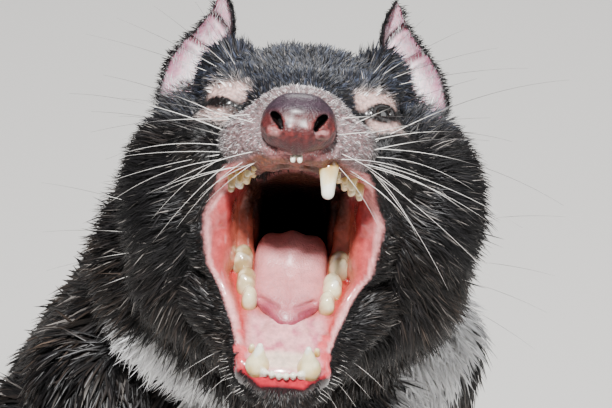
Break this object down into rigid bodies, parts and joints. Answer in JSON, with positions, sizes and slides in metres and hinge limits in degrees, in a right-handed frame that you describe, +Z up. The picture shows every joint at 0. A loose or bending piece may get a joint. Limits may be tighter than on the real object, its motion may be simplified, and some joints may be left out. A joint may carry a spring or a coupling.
{
  "type": "life-size tasmanian devil",
  "caption": "Life-size still model of a sitting tasmanian devil, head raised and turned, mouth wide open with teeth and tongue showing.",
  "frame": {"origin": "on the floor, under the middle of the animal's box", "axes": "+Z up, -Y the way the body faces, +X the animal's left"},
  "size_m": [0.2209, 0.6645, 0.43],
  "materials": {
    "black_coat": "dense black fur with a white band on the chest",
    "face_coat": "short dark brown fur, thin and grey on the muzzle",
    "bare_skin": "thin pink skin with fine hair",
    "nose_leather": "moist dark brown pebbled skin",
    "mouth_lining": "wet pink",
    "wet_eye": "wet and very dark",
    "tooth_enamel": "worn ivory, yellow at the root",
    "claw_horn": "dull horn",
    "whisker_hair": "stiff hair, white with a dark tip"
  },
  "bodies": {
    "root": {"torso": "black_coat", "neck": "black_coat", "tail": "black_coat", "foreleg_left": "black_coat", "foreleg_right": "black_coat", "hindleg_left": "black_coat", "hindleg_right": "black_coat", "head": "face_coat", "lower_jaw": "face_coat", "nose": "nose_leather", "tongue": "mouth_lining", "ear_left": "bare_skin", "ear_right": "bare_skin", "eye_left": "wet_eye", "eye_right": "wet_eye"}
  },
  "joints": []
}
